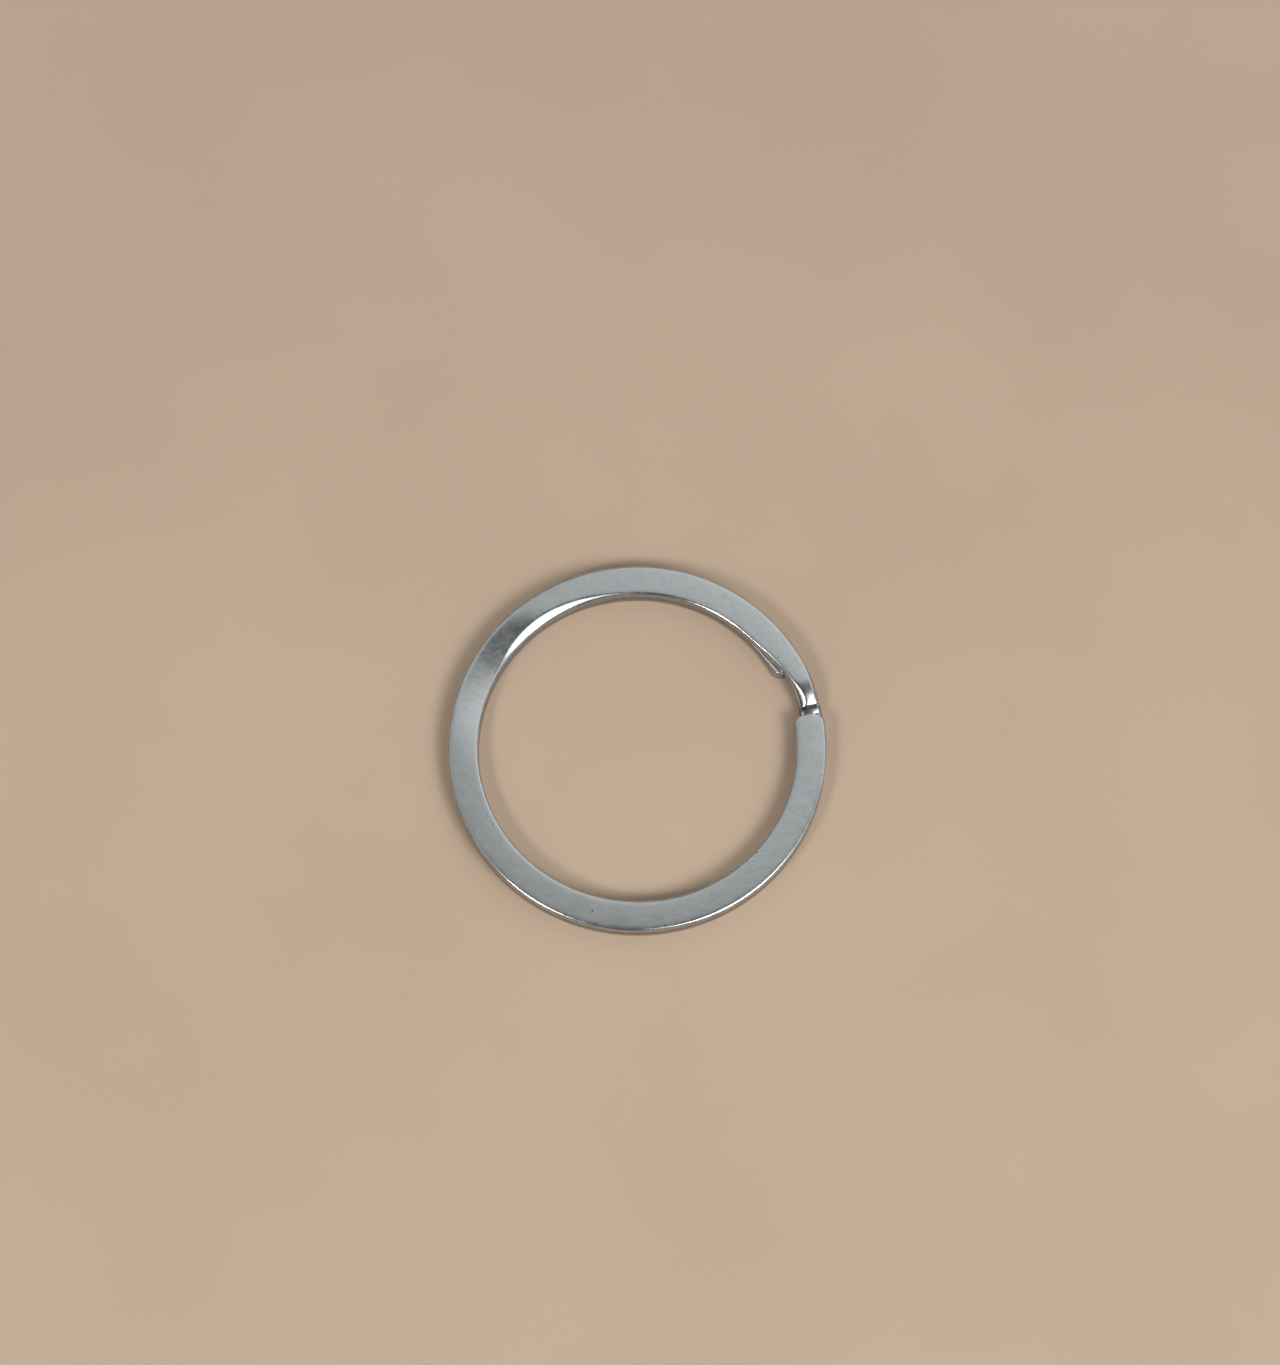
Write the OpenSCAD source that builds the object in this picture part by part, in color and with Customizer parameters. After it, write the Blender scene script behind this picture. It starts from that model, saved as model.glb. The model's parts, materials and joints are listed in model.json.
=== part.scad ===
// Split key ring: one flattened spring wire wound into two flat coils that lie on each other.
//
// The origin is the ring's centre on the plane that it rests on, with +Z up and the crossover,
// where the wire steps from the upper coil down to the lower one, centred on +X. Seen from
// above, the wire starts at the upper tip, runs clockwise round the upper coil to the
// crossover, steps down and runs clockwise round the lower coil to the lower tip.
// Each coil's last stretch is a leaf that bends away from the other coil, divided into equal
// segments where it flexes. The faces between the segments are radial planes.

/* [Ring] */
// Outside diameter of the ring
ring_od = 32; // [28:0.5:38]
// Width of the wire, across its flat face
strip_w = 2.6; // [2.2:0.1:3]
// Thickness of the wire, which is the height of one coil
strip_t = 1; // [0.8:0.05:1.2]
// Gap between the two coils where they lie on each other
coil_gap = 0.05; // [0.02:0.01:0.1]
// Rounding of the wire's four edges
edge_r = 0.25; // [0.15:0.05:0.35]

/* [Crossover] */
// Angle between the two free ends, in degrees
tip_gap = 17; // [16:1:22]
// Angle over which the wire narrows on each side of the crossover
neck_reach = 28; // [24:1:32]
// How far the inner edge moves outwards at the narrowest point
neck_relief = 0.83; // [0:0.01:1]
// Angle where the shoulders are broadest, from the middle of the gap between the free ends
shoulder_at = -3; // [-4:0.5:0]
// Angle over which they fade towards the upper coil
shoulder_up = 11; // [8:1:14]
// Angle over which they fade towards the lower coil
shoulder_down = 6.5; // [5:0.5:8]
// Width of the shoulder on the wire's inner edge
shoulder_in = 0.8; // [0.3:0.05:1]
// Its depth
shoulder_in_deep = 0.7; // [0.3:0.05:0.7]
// Width of the shoulder on its outer edge, which is as deep as it is wide
shoulder_out = 0.45; // [0.3:0.05:0.7]
// Angle at which the wire leaves the upper coil
drop_top = 4.5; // [4:0.5:7]
// Angle of the knee, where the wire turns down steeply
drop_knee = -5; // [-5.5:0.5:-3]
// Height of the knee, as a share of the step from the lower coil to the upper one
knee_height = 0.56; // [0.4:0.02:0.7]
// Angle between the foot of the step and the upper free end
foot_gap = 0.5; // [0.5:0.5:1]

/* [Leaves] */
// Angle of each coil that bends away as a leaf, from its free end
leaf_reach = 135; // [120:5:140]
// Number of segments in each leaf
leaf_segments = 6; // [4:1:8]
// Cut across the outer corner of each free end
tip_cut_out = 0.55; // [0:0.05:0.8]
// Cut across the inner corner of each free end
tip_cut_in = 0.4; // [0:0.05:0.8]

/* [Hidden] */
r_out = ring_od / 2;
r_in = r_out - strip_w;
lower_z = 0;
upper_z = strip_t + coil_gap;
tip_angle = tip_gap / 2;
hinge_angle = tip_angle + leaf_reach;
segment_angle = leaf_reach / leaf_segments;
back_angle = 360 - neck_reach - hinge_angle;
round_fn = 48;
// How far a cutting block runs past the faces that it cuts
past = 0.5;
// Points round each corner of the crossover's section, and the angle between its sections
corner_steps = 5;
section_step = 0.5;
// How far the shoulders are from round corners, 0, towards straight chamfers, 1
shoulder_flat = 0.15;
// How sharply the step eases off above the knee
ease = 2.5;

LEAF_NODES = [for (i = [1:leaf_segments - 1]) i];

// ---- The wire's ordinary section, swept round part of a coil ----

// The wire's section in the radius and height plane, with its underside at height z
module wire_section(z) {
    translate([r_in, z]) {
        translate([edge_r, 0]) square([strip_w - 2 * edge_r, strip_t]);
        translate([0, edge_r]) square([strip_w, strip_t - 2 * edge_r]);
        for (x = [edge_r, strip_w - edge_r], y = [edge_r, strip_t - edge_r])
            translate([x, y]) circle(r = edge_r, $fn = round_fn);
    }
}

// A stretch of wire from one angle, counter-clockwise over a span
module wire_arc(start, span, z) {
    rotate([0, 0, start]) rotate_extrude(angle = span, $fn = 2 * round_fn) wire_section(z);
}

// ---- The free ends ----

// A block that cuts across one corner of a free end at this angle. The wire runs from the end
// in the direction way (1 is counter-clockwise), and side is 1 at its outer edge.
module corner_block(angle, way, side, cut, z) {
    r = side > 0 ? r_out : r_in;
    rotate([0, 0, angle]) translate([0, 0, z - past]) linear_extrude(strip_t + 2 * past)
        polygon([
            [r - side * (cut + past), -way * past],
            [r + side * past, way * (cut + past)],
            [r + side * past, -way * past]
        ]);
}

// A leaf's last segment, with the corners of its free end cut
module tip(angle, way, z) {
    difference() {
        wire_arc(way > 0 ? angle : angle - segment_angle, segment_angle, z);
        corner_block(angle, way, 1, tip_cut_out, z);
        corner_block(angle, way, -1, tip_cut_in, z);
    }
}

// ---- The crossover ----

// 1 at the narrowest point, falling smoothly to 0 at the ends of the neck
function neck(a) = pow(cos(90 * a / neck_reach), 2);
// 1 where the shoulders are broadest, falling smoothly to 0 on each side
function shoulder(a) =
    let (reach = a > shoulder_at ? shoulder_up : shoulder_down)
    pow(cos(90 * min(1, abs(a - shoulder_at) / reach)), 2);
// 0 on the lower coil and 1 on the upper coil: steep up to the knee, then easing off
foot = foot_gap - tip_angle;
function climb(a) =
    a < drop_knee
        ? knee_height * pow(max(0, a - foot) / (drop_knee - foot), 2)
        : 1 - (1 - knee_height) * pow(max(0, drop_top - a) / (drop_top - drop_knee), ease);
// The outline of the wire's section at this angle, as points in radius and height. Its corners
// are the outer top, inner top, inner bottom and outer bottom one.
function section(a) =
    let (
        s = shoulder(a),
        low = lower_z + (upper_z - lower_z) * climb(a),
        inner = r_in + neck_relief * neck(a),
        wide_out = edge_r + (shoulder_out - edge_r) * s,
        wide_in = edge_r + (shoulder_in - edge_r) * s,
        deep_in = edge_r + (shoulder_in_deep - edge_r) * s,
        flat = 1 + shoulder_flat * s
    )
    concat(
        corner([r_out, low + strip_t], [-wide_out, -wide_out], flat, false),
        corner([inner, low + strip_t], [wide_in, -deep_in], flat, true),
        corner([inner, low], [edge_r, edge_r], 1, false),
        corner([r_out, low], [-edge_r, edge_r], 1, true)
    );
// A rounded corner's points. size is how far it reaches along each side, and flat is 1 where it
// is round. Its points run from the wall to the face, or back if turned.
function corner(p, size, flat, turned) =
    [
        for (i = [0:corner_steps - 1])
            let (
                t = 90 * i / (corner_steps - 1),
                turn = turned ? 90 - t : t
            )
            p + [size[0] * (1 - pow(cos(turn), flat)), size[1] * (1 - pow(sin(turn), flat))]
    ];

module crossover() {
    sections = 2 * neck_reach / section_step;
    n = 4 * corner_steps;
    points = [
        for (s = [0:sections])
            let (a = -neck_reach + s * section_step)
            for (p = section(a)) [p[0] * cos(a), p[0] * sin(a), p[1]]
    ];
    sides = [
        for (s = [0:sections - 1], i = [0:n - 1])
            let (a = s * n + i, b = s * n + (i + 1) % n)
            each [[a, a + n, b], [b, a + n, b + n]]
    ];
    ends = [[for (i = [0:n - 1]) i], [for (i = [n - 1:-1:0]) sections * n + i]];
    color("lightsteelblue") polyhedron(points, concat(sides, ends));
}

// ---- The rest of the wire ----

// The fixed stretch of the upper coil, from the crossover to the upper leaf
module upper_back() {
    color("silver") wire_arc(neck_reach, back_angle, upper_z);
}

// The fixed stretch of the lower coil, from the crossover to the lower leaf
module lower_front() {
    color("silver") wire_arc(hinge_angle, back_angle, lower_z);
}

// The upper leaf's segments are numbered from its fixed end to its tip
module upper_leaf(i) {
    color("gainsboro") wire_arc(i * segment_angle - hinge_angle - segment_angle, segment_angle, upper_z);
}

module upper_tip() {
    color("gainsboro") tip(-tip_angle, -1, upper_z);
}

module lower_leaf(i) {
    color("darkgray") wire_arc(hinge_angle - i * segment_angle, segment_angle, lower_z);
}

module lower_tip() {
    color("darkgray") tip(tip_angle, 1, lower_z);
}

crossover();
upper_back();
lower_front();
for (i = LEAF_NODES) upper_leaf(i);
upper_tip();
for (i = LEAF_NODES) lower_leaf(i);
lower_tip();
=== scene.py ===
"""A split key ring of nickel-plated spring wire, lying on a pale floor.

The CAD nodes are stretches of one wire. Here each is replaced by a finer piece of the same wire
with its rounded edges, so that the whole reads as one continuous spring.
Lengths are in metres and angles in degrees, in the row frame: +X runs through the crossover.
"""

import json
import math

import bpy
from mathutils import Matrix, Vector


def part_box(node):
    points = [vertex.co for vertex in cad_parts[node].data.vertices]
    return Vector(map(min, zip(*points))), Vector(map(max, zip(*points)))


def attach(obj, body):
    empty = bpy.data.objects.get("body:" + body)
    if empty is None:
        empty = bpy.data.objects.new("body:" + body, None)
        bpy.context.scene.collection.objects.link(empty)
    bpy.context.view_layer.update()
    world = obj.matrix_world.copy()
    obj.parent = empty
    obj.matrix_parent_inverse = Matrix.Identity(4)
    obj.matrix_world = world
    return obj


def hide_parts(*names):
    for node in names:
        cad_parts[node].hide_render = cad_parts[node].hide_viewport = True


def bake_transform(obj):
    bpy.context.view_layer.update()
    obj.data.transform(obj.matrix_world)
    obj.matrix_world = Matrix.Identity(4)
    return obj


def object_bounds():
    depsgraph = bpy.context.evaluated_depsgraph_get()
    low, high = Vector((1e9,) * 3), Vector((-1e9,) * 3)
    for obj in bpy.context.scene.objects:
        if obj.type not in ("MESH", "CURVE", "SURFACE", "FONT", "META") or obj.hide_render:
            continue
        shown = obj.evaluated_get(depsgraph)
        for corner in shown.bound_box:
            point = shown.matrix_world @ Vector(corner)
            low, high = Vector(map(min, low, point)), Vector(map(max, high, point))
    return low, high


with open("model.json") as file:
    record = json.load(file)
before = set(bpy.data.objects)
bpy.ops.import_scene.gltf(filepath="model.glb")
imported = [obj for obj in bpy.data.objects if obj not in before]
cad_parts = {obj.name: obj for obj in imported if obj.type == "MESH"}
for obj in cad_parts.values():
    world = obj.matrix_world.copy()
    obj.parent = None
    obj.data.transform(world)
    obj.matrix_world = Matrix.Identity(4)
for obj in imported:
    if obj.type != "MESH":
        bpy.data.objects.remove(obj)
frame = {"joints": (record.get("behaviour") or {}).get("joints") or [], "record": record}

cad_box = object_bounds()
MM = 0.001

# ---------------------------------------------------------------- sizes, from the frame

MOUNTS = {m["name"]: m for m in frame["record"]["mounts"]}
JOINTS = {j["name"]: j for j in frame["joints"]}

R_OUT = cad_box[1][0]
R_IN = MOUNTS["ring_opening"]["dims"]["r_mm"] * MM
LOWER_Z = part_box("lower_front")[0].z
UPPER_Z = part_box("upper_back")[0].z
STRIP_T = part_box("upper_back")[1].z - UPPER_Z
R_MID = (R_OUT + R_IN) / 2

# The wire's edges and the crossover, as in the CAD part
EDGE = 0.25 * MM
TIP_ANGLE = 8.5
NECK_REACH = 28
NECK_RELIEF = 0.83 * MM
SHOULDER_AT = -3         # where the shoulders are widest, and how far they reach on each side
SHOULDER_REACH_UP = 11
SHOULDER_REACH_DOWN = 6.5
SHOULDER_IN = (0.8 * MM, 0.7 * MM)       # each shoulder's width and depth
SHOULDER_OUT = (0.45 * MM, 0.45 * MM)
SHOULDER_FLAT = 0.15     # from 0, round, towards 1, a straight chamfer
DROP_TOP = 4.5           # where the crossover leaves the upper coil
DROP_KNEE = -5           # where it turns down steeply
KNEE_HEIGHT = 0.56       # how far up the knee lies, of the whole climb
EASE = 2.5               # how sharply it eases off above the knee
FOOT = 0.5 - TIP_ANGLE   # where it meets the lower coil, just clear of the upper free end
CUT_OUT = 0.55 * MM
CUT_IN = 0.4 * MM

# What only the looks need
CROWN = 0.008 * MM       # how much the flat faces bulge
END_R = 0.07 * MM        # rounding of the edges of each free end
TIP_WORN = 0.6 * MM      # the broad inner edge of the lower free end, and how far it reaches
TIP_WORN_LONG = 2.8 * MM
LEAN_AT = 127            # the middle of the stretch whose face leans in towards the opening
LEAN_REACH = (24, 44)    # before and after its middle
LEAN_DROP = 0.3 * MM
RUB_AT = 109             # the middle of the stretch whose inner edge is rubbed broad
RUB_REACH = 38
RUB_WIDE = 0.8 * MM
RUB_DEEP = 0.42 * MM
CORNER_POINTS = 11       # points round each corner of the section, and across each face
FACE_POINTS = 8
STEP = 0.5               # degrees between sections
END_RINGS = 6            # sections over a free end's rounding, and over its cut corners
CUT_RINGS = 8
PAST_CUT = 0.12 * MM     # how far past the cut corners the close sections run


# ---------------------------------------------------------------- the wire

def smooth(t):
    """0 to 1 with level ends."""
    t = min(1, max(0, t))
    return t * t * (3 - 2 * t)


def mix(a, b, t):
    return a + (b - a) * t


def hump(a, middle, reach):
    """1 in the middle, falling smoothly to 0 at reach on either side."""
    return math.cos(math.radians(90 * min(1, abs(a - middle) / reach))) ** 2


def climb(a):
    """0 on the lower coil and 1 on the upper one: steep up to the knee, then easing off."""
    if a < DROP_KNEE:
        return KNEE_HEIGHT * (max(0, a - FOOT) / (DROP_KNEE - FOOT)) ** 2
    return 1 - (1 - KNEE_HEIGHT) * (max(0, DROP_TOP - a) / (DROP_TOP - DROP_KNEE)) ** EASE


def outline(r_low, r_high, z_low, z_high, crown, corners, drop=0):
    """The wire's section as points in radius and height, counter-clockwise from its outer side.
    Each corner is its width, its depth and how flat it is, from 1, round, to 2, a straight
    chamfer: outer top, inner top, inner bottom, outer bottom. drop lowers the inner top one."""
    ends = [(r_high, z_high), (r_low, z_high - drop), (r_low, z_low), (r_high, z_low)]
    runs = []
    for k, ((r, z), (wide, deep, flat)) in enumerate(zip(ends, corners)):
        side_r = 1 if k in (0, 3) else -1
        side_z = 1 if k in (0, 1) else -1
        run = []
        for i in range(CORNER_POINTS):
            turn = math.radians(90 * i / (CORNER_POINTS - 1))
            across, up = math.cos(turn) ** flat, math.sin(turn) ** flat
            run.append((r - side_r * wide * (1 - across), z - side_z * deep * (1 - up)))
        runs.append(run if k in (0, 2) else run[::-1])
    points = []
    for k, run in enumerate(runs):
        points += run
        if k in (0, 2):
            start, end = run[-1], runs[k + 1][0]
            side = 1 if k == 0 else -1
            for i in range(1, FACE_POINTS):
                t = i / FACE_POINTS
                bulge = side * 4 * crown * t * (1 - t)
                points.append((mix(start[0], end[0], t), mix(start[1], end[1], t) + bulge))
    return points


def even_corners(edge):
    return [(edge, edge, 1)] * 4


def coil_section(z_low):
    """The section of an ordinary stretch of coil, as a function of the angle."""
    # the crown bulges inside the CAD box, so the edges sit lower by its height
    shape = outline(
        R_IN, R_OUT, z_low + CROWN, z_low + STRIP_T - CROWN, CROWN, even_corners(EDGE))
    return lambda a: shape


def back_section(a):
    """The upper coil where it has been rubbed by keys: it leans in and its inner edge is broad."""
    rub = hump(a, RUB_AT, RUB_REACH)
    corners = even_corners(EDGE)
    corners[1] = (mix(EDGE, RUB_WIDE, rub), mix(EDGE, RUB_DEEP, rub), 1 + 0.5 * rub)
    drop = LEAN_DROP * hump(a, LEAN_AT, LEAN_REACH[a > LEAN_AT])
    return outline(
        R_IN, R_OUT, UPPER_Z + CROWN, UPPER_Z + STRIP_T - CROWN, CROWN, corners, drop)


def crossover_section(a):
    n = hump(a, 0, NECK_REACH)
    s = hump(a, SHOULDER_AT, SHOULDER_REACH_UP if a > SHOULDER_AT else SHOULDER_REACH_DOWN)
    low = mix(LOWER_Z, UPPER_Z, climb(a))
    corners = even_corners(EDGE)
    for i, (wide, deep) in enumerate((SHOULDER_OUT, SHOULDER_IN)):
        corners[i] = (mix(EDGE, wide, s), mix(EDGE, deep, s), 1 + SHOULDER_FLAT * s)
    inner = R_IN + NECK_RELIEF * n
    return outline(inner, R_OUT, low + CROWN, low + STRIP_T - CROWN, CROWN, corners)


def tip_section(z_low, end, way):
    """The section near a free end: its corners are cut, and its edges are rounded."""

    def section(a):
        along = abs(math.radians(a - end))
        inset = END_R - math.sqrt(max(0, END_R**2 - max(0, END_R - along * R_MID) ** 2))
        cut_out = max(0, CUT_OUT - along * R_OUT)
        cut_in = max(0, CUT_IN - along * R_IN)
        corners = even_corners(EDGE - inset)
        worn = smooth(1 - along * R_MID / TIP_WORN_LONG) if way < 0 else 0
        broad = mix(EDGE, TIP_WORN, worn) - inset
        corners[1] = (broad, broad, 1)
        return outline(
            R_IN + cut_in + inset,
            R_OUT - cut_out - inset,
            z_low + CROWN + inset,
            z_low + STRIP_T - CROWN - inset,
            CROWN,
            corners,
        )

    return section


def place_round(ring, column):
    """How far round the section a point lies, so that draw lines run straight along the wire."""
    top, bottom = max(z for r, z in ring), min(z for r, z in ring)
    wide = R_OUT - R_IN
    r, z = ring[column]
    half = len(ring) // 2
    side = column // half
    corner_a = column % half < CORNER_POINTS
    corner_b = column % half >= half - CORNER_POINTS
    if side == 0:
        rise = z - top if corner_a else top - z if corner_b else 0
        return R_OUT - r + rise
    rise = bottom - z if corner_a else z - bottom if corner_b else 0
    return wide + STRIP_T + r - R_IN + rise


def even_steps(start, end, step=STEP):
    """Angles from start to end, about a step apart."""
    n = max(1, round(abs(end - start) / step))
    return [mix(start, end, i / n) for i in range(n + 1)]


def sweep(name, angles, section, turns=0):
    """A closed mesh through the sections at these angles. Its UV map is in millimetres, u along
    the wire and v round it; turns is how many turns of the wire come before these angles."""
    rings = [section(a) for a in angles]
    n = len(rings[0])
    verts = [
        (r * math.cos(math.radians(a)), r * math.sin(math.radians(a)), z)
        for a, ring in zip(angles, rings)
        for r, z in ring
    ]
    last = len(angles) - 1
    forward = angles[-1] > angles[0]
    faces = []
    for s in range(last):
        for i in range(n):
            j = (i + 1) % n
            quad = (s * n + i, s * n + j, (s + 1) * n + j, (s + 1) * n + i)
            faces.append(quad[::-1] if forward else quad)
    start_cap = tuple(range(n))
    end_cap = tuple(last * n + i for i in range(n))
    faces += [start_cap, end_cap[::-1]] if forward else [start_cap[::-1], end_cap]
    mesh = bpy.data.meshes.new(name)
    mesh.from_pydata(verts, [], faces)
    mesh.update()

    uv = mesh.uv_layers.new(name="wire")
    perimeter = 2 * (R_OUT - R_IN + STRIP_T)
    for face in mesh.polygons:
        columns = [mesh.loops[k].vertex_index % n for k in face.loop_indices]
        wraps = face.index < last * n and max(columns) - min(columns) > 1
        for k in face.loop_indices:
            ring, column = divmod(mesh.loops[k].vertex_index, n)
            turn = place_round(rings[ring], column)
            if wraps and column == 0:
                turn += perimeter
            along = math.radians(angles[ring] + 360 * turns) * R_MID
            uv.data[k].uv = (along / MM, turn / MM)
        face.use_smooth = face.index < last * n
    for edge in mesh.edges:
        a, b = (v // n for v in edge.vertices)
        edge.use_edge_sharp = a == b and a in (0, last)
    piece = bpy.data.objects.new(name, mesh)
    bpy.context.scene.collection.objects.link(piece)
    return piece


# ---------------------------------------------------------------- the pieces

def station(joint):
    """A hinge's angle round the ring."""
    axis = JOINTS[joint]["axis"]
    return math.degrees(math.atan2(axis[1], axis[0]))


def leaf(side, z_low, way):
    """One coil's leaf, from the middle of its first bend to its free end. way is 1 where the
    leaf runs counter-clockwise to its tip. Each bend piece lies across one hinge."""
    names = sorted(n for n in JOINTS if n.startswith(side))
    half = abs(station(names[1]) - station(names[0])) / 2
    end = way * -TIP_ANGLE
    coil = coil_section(z_low)
    pieces = []
    for i, name in enumerate(names):
        joint = JOINTS[name]
        at = station(name)
        angles = even_steps(at - way * half, at + way * half)
        piece = sweep(f"{side}_bend_{i + 1}", angles, coil, way)
        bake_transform(piece)
        child_node = frame["record"]["behaviour"]["bodies"][joint["child"]][0]
        if i < len(names) - 1:
            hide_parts(child_node)
        pieces.append(piece)
    start = station(names[-1]) + way * half
    # rings close together where the end's edges are rounded, then out to past its cut corners
    close = [
        END_R * (1 - math.cos(math.radians(90 * i / END_RINGS))) for i in range(END_RINGS + 1)]
    spaced = [mix(END_R, CUT_OUT + PAST_CUT, i / CUT_RINGS) for i in range(1, CUT_RINGS + 1)]
    fine = [end - way * math.degrees(s / R_MID) for s in close + spaced]
    angles = even_steps(start, fine[-1]) + fine[::-1][1:]
    tip = sweep(f"{side}_tip_end", angles, tip_section(z_low, end, way), way)
    last = JOINTS[names[-1]]["child"]
    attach(tip, last)
    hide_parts(frame["record"]["behaviour"]["bodies"][last][0])
    return pieces + [tip], station(names[0]) - way * half


upper, upper_start = leaf("upper", UPPER_Z, 1)
lower, lower_start = leaf("lower", LOWER_Z, -1)

back = sweep("upper_coil_back", even_steps(NECK_REACH, upper_start + 360), back_section)
front = sweep("lower_coil_front", even_steps(-NECK_REACH, lower_start - 360), coil_section(LOWER_Z))
cross = sweep("crossover_neck", even_steps(-NECK_REACH, NECK_REACH, STEP / 2), crossover_section)
for piece, cad_node in ((back, "upper_back"), (front, "lower_front"), (cross, "crossover")):
    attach(piece, "ring")
    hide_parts(cad_node)
wire = upper + lower + [back, front, cross]


# ---------------------------------------------------------------- shader nodes

class Shade:
    """A node tree with short calls for the nodes that the materials use."""

    def __init__(self, tree):
        self.tree = tree
        tree.nodes.clear()

    def add(self, kind, setup=None, **inputs):
        """A node. Inputs go by name, with _ for a space, or by number as n0, n1."""
        made = self.tree.nodes.new("ShaderNode" + kind)
        for key, value in (setup or {}).items():
            setattr(made, key, value)
        for key, value in inputs.items():
            numbered = key[0] == "n" and key[1:].isdigit()
            socket = made.inputs[int(key[1:])] if numbered else made.inputs[key.replace("_", " ")]
            if isinstance(value, bpy.types.NodeSocket):
                self.tree.links.new(value, socket)
            else:
                socket.default_value = value
        return made

    def math(self, operation, *values):
        inputs = {f"n{i}": v for i, v in enumerate(values)}
        return self.add("Math", {"operation": operation}, **inputs).outputs[0]

    def ramp(self, value, low, high, start=0.0, end=1.0):
        """start where the value is low and end where it is high, smoothly between."""
        setup = {"interpolation_type": "SMOOTHSTEP"}
        made = self.add("MapRange", setup, n0=value, n1=low, n2=high, n3=start, n4=end)
        return made.outputs[0]

    def colour(self, factor, low, high):
        """The colour low where the factor is 0 and high where it is 1."""
        made = self.add("Mix", {"data_type": "RGBA"}, n0=factor, n6=low, n7=high)
        return made.outputs[2]

    def stretch(self, vector, long, wide, turn=0.0):
        """Coordinates for marks of this length and width, at an angle to the first axis."""
        setup = {"vector_type": "TEXTURE"}
        rotation = (0, 0, math.radians(turn))
        made = self.add("Mapping", setup, Vector=vector, Rotation=rotation, Scale=(long, wide, 1))
        return made.outputs[0]

    def noise(self, vector, scale, detail=2.0, rough=0.5):
        made = self.add("TexNoise", Vector=vector, Scale=scale, Detail=detail, Roughness=rough)
        return made.outputs[0]


# ---------------------------------------------------------------- the metal

def scratches(s, wire_mm, turn, long, wide, amount):
    """Sparse fine lines at an angle to the wire. amount is from 0, none, to 1."""
    along = s.stretch(wire_mm, long, wide, turn)
    field = s.noise(along, 1.0, 0.0)
    return s.ramp(field, 0.74 - 0.12 * amount, 0.8 - 0.12 * amount)


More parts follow.
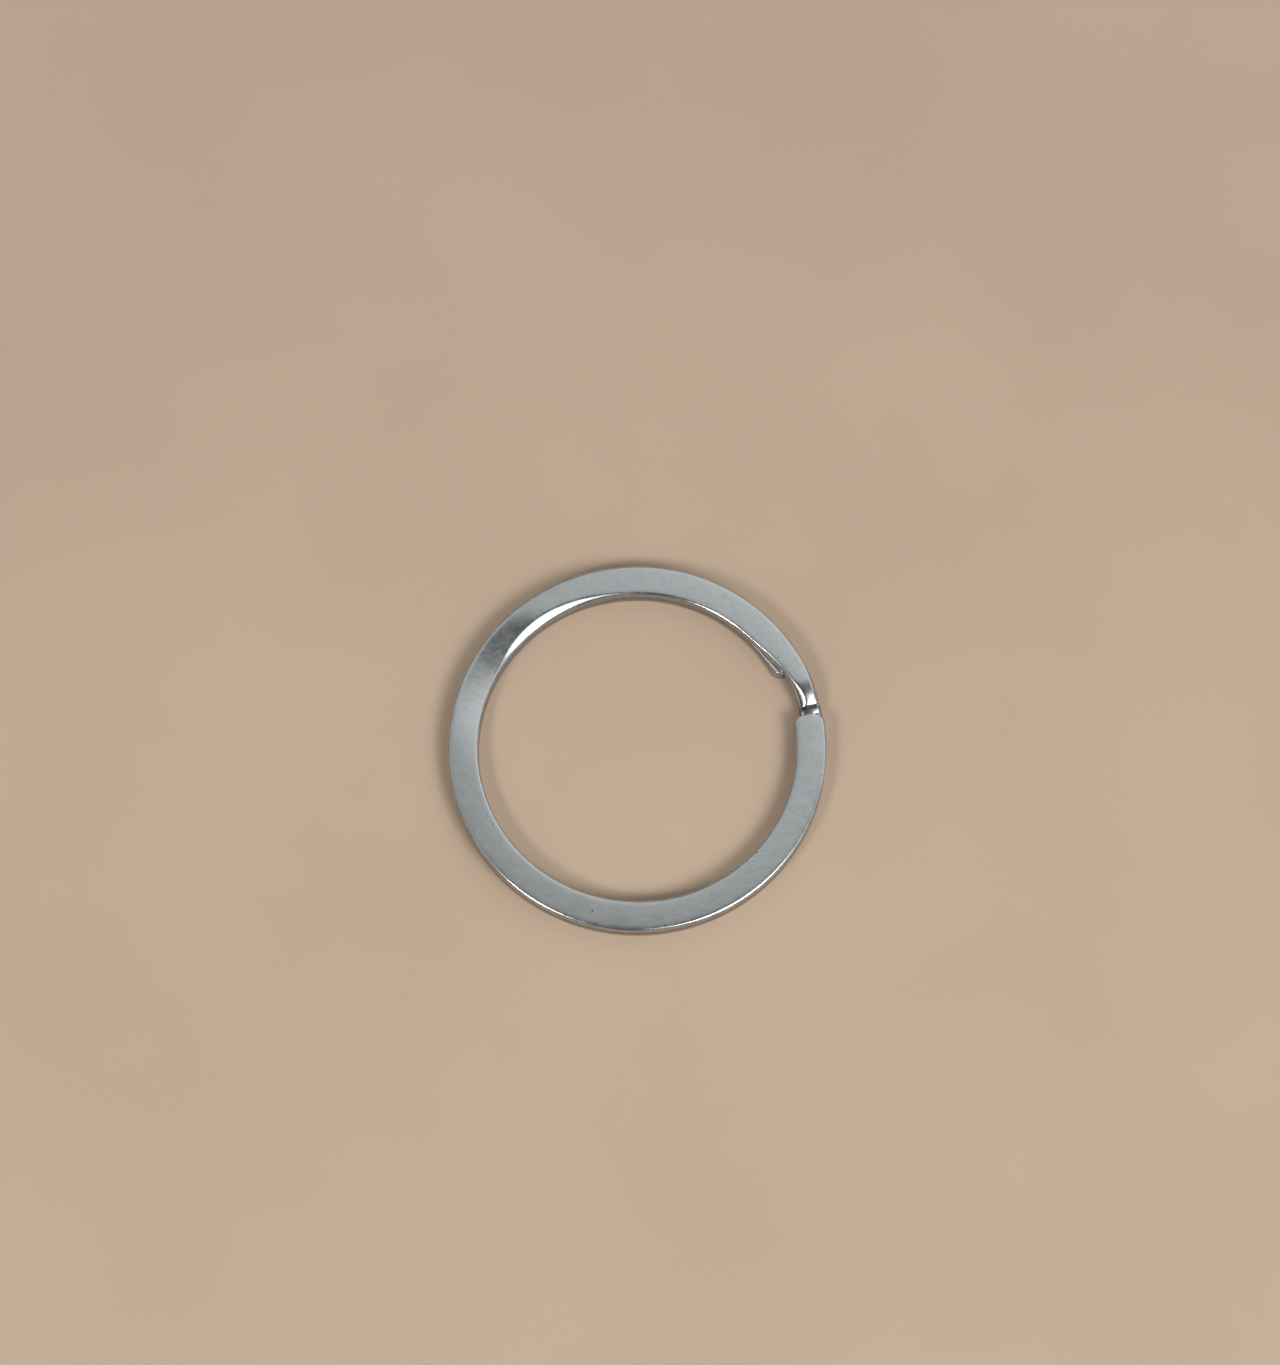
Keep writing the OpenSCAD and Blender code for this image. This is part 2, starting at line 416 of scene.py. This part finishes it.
def nickel_plate():
    """Satin nickel on spring wire: faint draw lines, scratches, pits and a rubbed edge, with
    painted shade darkening the walls and the groove between the coils.
    """
    material = bpy.data.materials.new("nickel_plate")
    material.use_nodes = True
    s = Shade(material.node_tree)
    wire_mm = s.add("UVMap", {"uv_map": "wire"}).outputs[0]
    place = s.add("TexCoord")
    place_mm = s.add("Mapping", Vector=place.outputs["Object"], Scale=(1000, 1000, 1000)).outputs[0]
    up = s.add("SeparateXYZ", Vector=place.outputs["Normal"]).outputs[2]
    height = s.add("SeparateXYZ", Vector=place_mm).outputs[2]

    # 1 on the rounded edges and the crossover's slope, 0 on the faces and walls
    level = s.math("MULTIPLY", up, up)
    edge = s.math("MULTIPLY", s.math("MULTIPLY", level, s.math("SUBTRACT", 1.0, level)), 4.0)
    mottle = s.noise(place_mm, 0.8, 5.0, 0.6)
    fine_mottle = s.noise(place_mm, 6.0, 3.0, 0.6)
    drawn = s.noise(s.stretch(wire_mm, 8.0, 0.045), 1.0, 2.0)
    nicks = s.math(
        "MAXIMUM",
        scratches(s, wire_mm, 62, 1.6, 0.05, 0.3),
        scratches(s, wire_mm, -28, 2.4, 0.04, 0.2),
    )
    cells = s.add("TexVoronoi", Vector=wire_mm, Scale=1.7)
    chosen = s.ramp(s.add("SeparateColor", Color=cells.outputs["Color"]).outputs[0], 0.94, 0.95)
    pits = s.math("MULTIPLY", s.ramp(cells.outputs["Distance"], 0.2, 0.1), chosen)
    rubbed = s.math("MULTIPLY", edge, s.ramp(mottle, 0.3, 0.6, 0.35, 1.0))

    # painted shade: a dark tint, in patches, on the walls in the groove between the coils
    middle = (LOWER_Z + UPPER_Z + STRIP_T) / 2 / MM
    groove = s.ramp(s.math("ABSOLUTE", s.math("SUBTRACT", height, middle)), 0.4, 0.06)
    walls = s.ramp(level, 0.75, 0.3)
    sides = s.ramp(level, 0.98, 0.7)
    patchy = s.ramp(mottle, 0.3, 0.7, 0.6, 1.0)
    painted_groove_shade = s.math("MULTIPLY", s.math("MULTIPLY", groove, sides), patchy)

    face = s.colour(s.ramp(mottle, 0.32, 0.68), (0.60, 0.625, 0.63, 1), (0.66, 0.665, 0.655, 1))
    # painted shade: the walls get a darker colour than the faces, standing for the dark floor they
    # reflect
    painted_dark_walls = s.colour(walls, face, (0.36, 0.355, 0.35, 1))
    worn = s.colour(rubbed, painted_dark_walls, (0.76, 0.77, 0.765, 1))
    dulled = s.colour(s.math("MULTIPLY", nicks, 0.35), worn, (0.42, 0.43, 0.44, 1))
    # painted shade: the walls by the groove darkened almost to black
    groove_shaded = s.colour(s.math("MULTIPLY", painted_groove_shade, 0.8), dulled, (0.1, 0.085, 0.075, 1))
    final = s.colour(pits, groove_shaded, (0.09, 0.08, 0.075, 1))

    dull = s.math("MULTIPLY_ADD", fine_mottle, 0.08, s.ramp(mottle, 0.3, 0.7, 0.13, 0.2))
    scuffed = s.math("MULTIPLY_ADD", nicks, 0.06, dull)
    streaked = s.math("MULTIPLY_ADD", drawn, 0.012, scuffed)
    polished = s.math("MULTIPLY_ADD", rubbed, -0.07, streaked)
    # rougher where the groove shade is painted, and in the pits
    rough_in_groove_and_pits = s.math("MULTIPLY_ADD", s.math("ADD", painted_groove_shade, pits), 0.3, polished)
    rough = s.math("MAXIMUM", rough_in_groove_and_pits, 0.06)

    relief = s.math("MULTIPLY", drawn, 0.00006)
    relief = s.math("MULTIPLY_ADD", fine_mottle, 0.0016, relief)
    relief = s.math("MULTIPLY_ADD", mottle, 0.012, relief)
    relief = s.math("MULTIPLY_ADD", nicks, -0.0004, relief)
    relief = s.math("MULTIPLY_ADD", pits, -0.006, relief)
    bump = s.add("Bump", Strength=1.0, Distance=MM, Height=relief)
    metal = s.add(
        "BsdfPrincipled", Base_Color=final, Metallic=1.0, Roughness=rough, Normal=bump.outputs[0])
    s.add("OutputMaterial", Surface=metal.outputs[0])
    return material


plate = nickel_plate()
for piece in wire:
    piece.data.materials.append(plate)


# ---------------------------------------------------------------- camera, floor and light

VIEW_TURN = -19.2        # which way the camera looks, from +Y, seen from above
VIEW_TILT = 73.4         # how steeply it looks down
CAMERA_AWAY = 0.30
LENS = 99.5
AIM_RIGHT = 0.24 * MM    # the point that it looks at, from the middle of the ring's top
AIM_AWAY = 5.55 * MM
FLOOR_HALF = 1.5
LIGHT_AWAY = 0.5
# Each glow in the ceiling: azimuth, elevation, half its width in degrees and brightness
GLOWS = ((222, 50, 16, 0.8), (315, 52, 26, 2.2))
# Where a photographer would lean in: azimuth, elevation, and the angles where it ends and is full
DARK_AT = (290, 62)
DARK_EDGE = (44, 33)


def facing(azimuth, elevation=0):
    """A direction. Azimuth 0 is to the camera's right and 90 is away from it."""
    turn, rise = math.radians(azimuth + VIEW_TURN), math.radians(elevation)
    flat = math.cos(rise)
    return Vector((flat * math.cos(turn), flat * math.sin(turn), math.sin(rise)))


def aim(obj, at, toward):
    obj.location = at
    obj.rotation_euler = (at - toward).to_track_quat("Z", "Y").to_euler()


def soft_light(name, azimuth, elevation, size, power):
    data = bpy.data.lights.new(name, "AREA")
    data.shape = "DISK"
    data.size = size
    data.energy = power
    light = bpy.data.objects.new(name, data)
    bpy.context.scene.collection.objects.link(light)
    aim(light, facing(azimuth, elevation) * LIGHT_AWAY, Vector((0, 0, 0)))
    return light


def add_camera():
    top = Vector((0, 0, cad_box[1][2]))
    target = top + facing(0) * AIM_RIGHT + facing(90) * AIM_AWAY
    camera = bpy.data.objects.new("camera", bpy.data.cameras.new("camera"))
    bpy.context.scene.collection.objects.link(camera)
    aim(camera, target + facing(-90, VIEW_TILT) * CAMERA_AWAY, target)
    camera.data.sensor_fit = "HORIZONTAL"
    camera.data.sensor_width = 36
    camera.data.lens = LENS
    camera.data.clip_start = 0.01
    bpy.context.scene.camera = camera


def add_floor():
    mesh = bpy.data.meshes.new("floor")
    h = FLOOR_HALF
    mesh.from_pydata([(-h, -h, 0), (h, -h, 0), (h, h, 0), (-h, h, 0)], [], [(0, 1, 2, 3)])
    floor = bpy.data.objects.new("floor", mesh)
    bpy.context.scene.collection.objects.link(floor)
    material = bpy.data.materials.new("floor")
    material.use_nodes = True
    s = Shade(material.node_tree)
    place = s.add("TexCoord").outputs["Object"]
    cloud = s.noise(place, 30.0, 3.0)
    grain = s.noise(place, 1500.0, 2.0)
    tint = s.colour(s.ramp(cloud, 0.3, 0.7), (0.53, 0.39, 0.28, 1), (0.56, 0.415, 0.3, 1))
    bump = s.add("Bump", Strength=0.3, Distance=0.05 * MM, Height=grain)
    paper = s.add("BsdfPrincipled", Base_Color=tint, Roughness=0.7, Normal=bump.outputs[0])
    s.add("OutputMaterial", Surface=paper.outputs[0])
    mesh.materials.append(material)


def add_world():
    """A pale ceiling, darker towards the horizon and where a photographer would lean in."""
    world = bpy.data.worlds.new("studio")
    bpy.context.scene.world = world
    world.use_nodes = True
    s = Shade(world.node_tree)
    way = s.add("TexCoord").outputs["Generated"]

    def toward(azimuth, elevation):
        made = s.add("VectorMath", {"operation": "DOT_PRODUCT"}, n0=way,
                     n1=facing(azimuth, elevation))
        return made.outputs["Value"]

    rise = s.ramp(toward(0, 90), 0.1, 0.9, 0.14, 0.66)
    right = s.ramp(toward(0, 0), -0.1, 0.1, 0.66, 1.32)
    outer, inner = (math.cos(math.radians(edge)) for edge in DARK_EDGE)
    body = s.ramp(toward(*DARK_AT), outer, inner, 1.0, 0.1)
    level = s.math("MULTIPLY", s.math("MULTIPLY", rise, right), body)
    for azimuth, elevation, wide, bright in GLOWS:
        glow = s.ramp(toward(azimuth, elevation), math.cos(math.radians(wide)),
                      math.cos(math.radians(wide / 3)), 0.0, bright)
        level = s.math("ADD", level, glow)
    sky = s.add("Background", Color=(0.96, 1.0, 1.01, 1), Strength=level)
    s.add("OutputWorld", Surface=sky.outputs[0])


add_camera()
add_floor()
add_world()
soft_light("left", 225, 48, 0.12, 0.6)
soft_light("right", 315, 50, 0.2, 0.9)
bpy.context.scene.view_settings.view_transform = "Standard"
